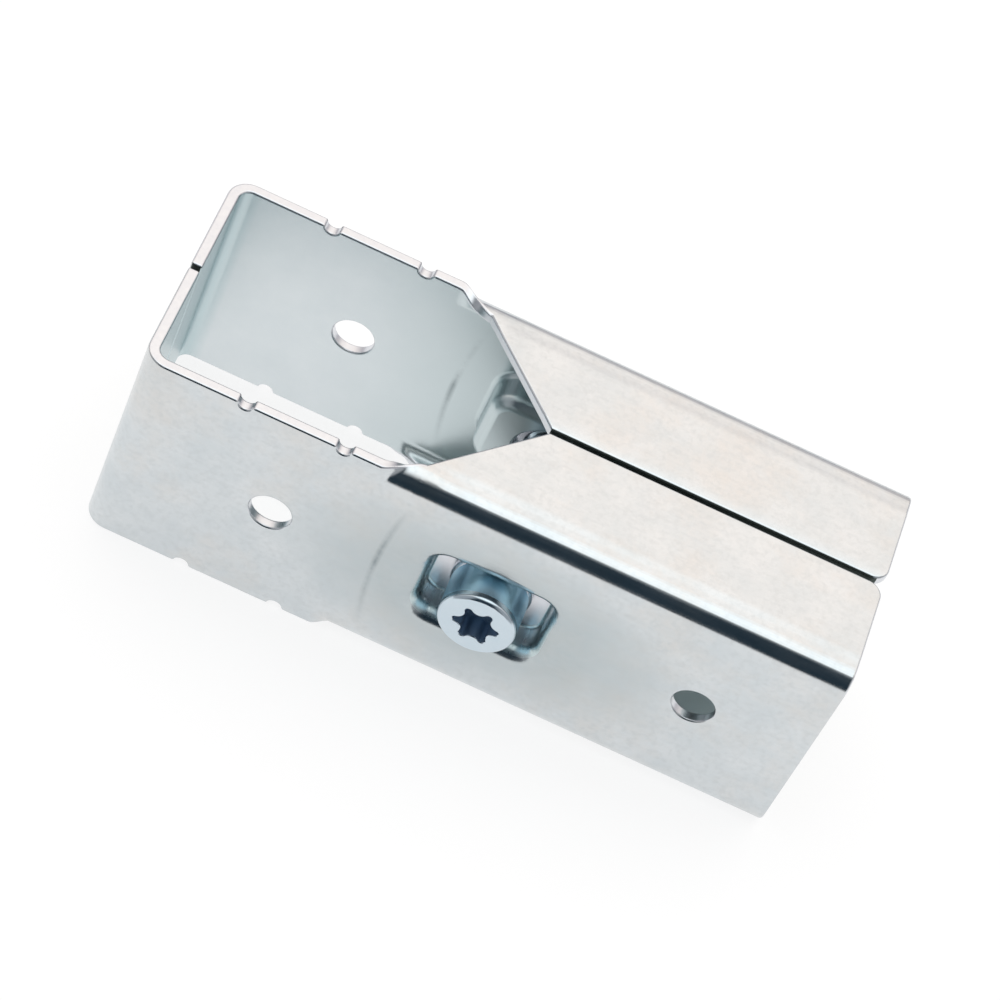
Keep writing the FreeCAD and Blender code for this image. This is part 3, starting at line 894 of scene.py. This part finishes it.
for limit, way in ((SEAT, -1), (SHANK_END, 1)):
    bmesh.ops.bisect_plane(
        shank, geom=whole(shank), plane_co=(0, limit, 0), plane_no=(0, way, 0), clear_outer=True
    )
    rim = [edge for edge in shank.edges if edge.is_boundary and abs(edge.verts[0].co.y - limit) < MERGE_GAP]
    bmesh.ops.contextual_create(shank, geom=rim)
for vert in shank.verts:
    beyond = vert.co.y - (SHANK_END - POINT_LENGTH)
    across = Vector((vert.co.x - POCKET_X, 0, vert.co.z))
    limit = CREST_RADIUS - max(beyond, 0)
    if across.length > limit:
        across = across.normalized() * limit
        vert.co = Vector((POCKET_X + across.x, vert.co.y, across.z))
bmesh.ops.recalc_face_normals(shank, faces=shank.faces)
thread_mesh = bpy.data.meshes.new("thread")
shank.to_mesh(thread_mesh)
shank.free()
head.from_mesh(thread_mesh)
bpy.data.meshes.remove(thread_mesh)
finish_piece(head, "clamp_screw_look", screw_finishes, "screw", "clamp_screw")

# Table: a plain white board that the part stands on, just clear of its lower flanges.  The eye and the
# metal see it white, and it keeps the part's shadow; from below it is clear, so that the underside shows.
TABLE_HALF = 1.5
TABLE_FRONT = 0.14
TABLE_CLEARANCE = 0.05 * MM
TABLE_WHITE = 0.83
table_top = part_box("front_shell")[0][2] - TABLE_CLEARANCE
shape = bmesh.new()
bmesh.ops.create_grid(shape, x_segments=1, y_segments=1, size=TABLE_HALF)
bmesh.ops.translate(shape, verts=shape.verts, vec=(0, TABLE_HALF - TABLE_FRONT, table_top))
mesh = bpy.data.meshes.new("table")
shape.to_mesh(mesh)
shape.free()
table = bpy.data.objects.new("table", mesh)
bpy.context.scene.collection.objects.link(table)

white_board, tree, place = new_finish("white_table")
paint = add_node(tree, "ShaderNodeBsdfDiffuse", Color=colour("#898989"))
ray = add_node(tree, "ShaderNodeLightPath")
by_eye_or_metal = add_node(
    tree,
    "ShaderNodeMath",
    {"operation": "MAXIMUM"},
    _0=ray.outputs["Is Camera Ray"],
    _1=ray.outputs["Is Glossy Ray"],
)
seen = add_node(
    tree,
    "ShaderNodeMath",
    {"operation": "MAXIMUM"},
    _0=by_eye_or_metal.outputs["Value"],
    _1=ray.outputs["Is Transmission Ray"],
)
fill = add_node(
    tree, "ShaderNodeMath", {"operation": "MULTIPLY"}, _0=seen.outputs["Value"], _1=TABLE_WHITE
)
glow = add_node(tree, "ShaderNodeEmission", Strength=fill.outputs["Value"])
board = add_node(tree, "ShaderNodeAddShader", _0=paint.outputs["BSDF"], _1=glow.outputs["Emission"])
below = add_node(tree, "ShaderNodeNewGeometry").outputs["Backfacing"]
clear = add_node(tree, "ShaderNodeBsdfTransparent")
sided = add_node(
    tree, "ShaderNodeMixShader", _0=below, _1=board.outputs["Shader"], _2=clear.outputs["BSDF"]
)
add_node(tree, "ShaderNodeOutputMaterial", Surface=sided.outputs["Shader"])
mesh.materials.append(white_board)

# Room: plain soft light from a wide soft box overhead and a pale wall behind the part.  The side walls are
# grey, and straight in front is a dark gap, which gives the bends their dark line.  The eye sees it white.
SOFT_BOX = (1.44, 1.49, 1.5, 1.0)
WALL_TOP = (1.315, 1.213, 1.141, 1.0)
WALL_FOOT = (0.5, 0.48, 0.51, 1.0)
SIDE_WALL = (0.42, 0.43, 0.45, 1.0)
WHITE = (1.0, 1.0, 1.0, 1.0)
EASED = {"interpolation_type": "SMOOTHSTEP"}
world = bpy.data.worlds.new("pale_room")
bpy.context.scene.world = world
world.use_nodes = True
tree = world.node_tree
tree.nodes.clear()
direction = add_node(tree, "ShaderNodeTexCoord").outputs["Generated"]
axes = add_node(tree, "ShaderNodeSeparateXYZ", Vector=direction)
overhead = add_node(tree, "ShaderNodeMapRange", EASED, Value=axes.outputs["Z"], From_Min=0.78, From_Max=1.0)
behind = add_node(tree, "ShaderNodeMapRange", EASED, Value=axes.outputs["Y"], From_Min=-0.25, From_Max=0.25)
rise = add_node(tree, "ShaderNodeMapRange", EASED, Value=axes.outputs["Z"], From_Min=0.1, From_Max=0.74)
sideways = add_node(tree, "ShaderNodeMath", {"operation": "ABSOLUTE"}, _0=axes.outputs["X"])
aside = add_node(
    tree, "ShaderNodeMapRange", EASED, Value=sideways.outputs["Value"], From_Min=0.25, From_Max=0.6
)
back_wall = add_node(
    tree, "ShaderNodeMix", {"data_type": "RGBA"}, Factor=rise.outputs["Result"], _6=WALL_FOOT, _7=WALL_TOP
)
front_wall = add_node(
    tree,
    "ShaderNodeMix",
    {"data_type": "RGBA"},
    Factor=aside.outputs["Result"],
    _6=colour("#263540"),
    _7=SIDE_WALL,
)
walls_round = add_node(
    tree,
    "ShaderNodeMix",
    {"data_type": "RGBA"},
    Factor=behind.outputs["Result"],
    _6=front_wall.outputs[2],
    _7=back_wall.outputs[2],
)
room = add_node(
    tree,
    "ShaderNodeMix",
    {"data_type": "RGBA"},
    Factor=overhead.outputs["Result"],
    _6=walls_round.outputs[2],
    _7=SOFT_BOX,
)
ray = add_node(tree, "ShaderNodeLightPath")
seen = add_node(
    tree,
    "ShaderNodeMath",
    {"operation": "MAXIMUM"},
    _0=ray.outputs["Is Camera Ray"],
    _1=ray.outputs["Is Transmission Ray"],
)
seen_room = add_node(
    tree, "ShaderNodeMix", {"data_type": "RGBA"}, Factor=seen.outputs["Value"], _6=room.outputs[2], _7=WHITE
)
background = add_node(tree, "ShaderNodeBackground", Color=seen_room.outputs[2], Strength=1.0)
add_node(tree, "ShaderNodeOutputWorld", Surface=background.outputs["Background"])

# Camera: a long lens above and in front of the part, rolled so that the sleeve runs down to the right.
# Its place and turn come from a fit to the part's edges and holes.
AIM = Vector((28.48, 0.68, 0.0)) * MM
DISTANCE = 472.0 * MM
HEADING = math.radians(3.40)
LOOK_DOWN = math.radians(49.43)
ROLL = math.radians(27.26)
LENS = 137.06
SENSOR = 36.0
forward = Vector((
    math.sin(HEADING) * math.cos(LOOK_DOWN),
    math.cos(HEADING) * math.cos(LOOK_DOWN),
    -math.sin(LOOK_DOWN),
))
level_right = Vector((math.cos(HEADING), -math.sin(HEADING), 0))
level_up = level_right.cross(forward)
right = level_right * math.cos(ROLL) + level_up * math.sin(ROLL)
up = right.cross(forward)
lens = bpy.data.cameras.new("camera")
lens.lens = LENS
lens.sensor_width = SENSOR
camera = bpy.data.objects.new("camera", lens)
facing = Matrix((right, up, -forward)).transposed().to_4x4()
camera.matrix_world = Matrix.Translation(AIM - forward * DISTANCE) @ facing
bpy.context.scene.collection.objects.link(camera)
bpy.context.scene.camera = camera
bpy.context.scene.view_settings.view_transform = "Standard"
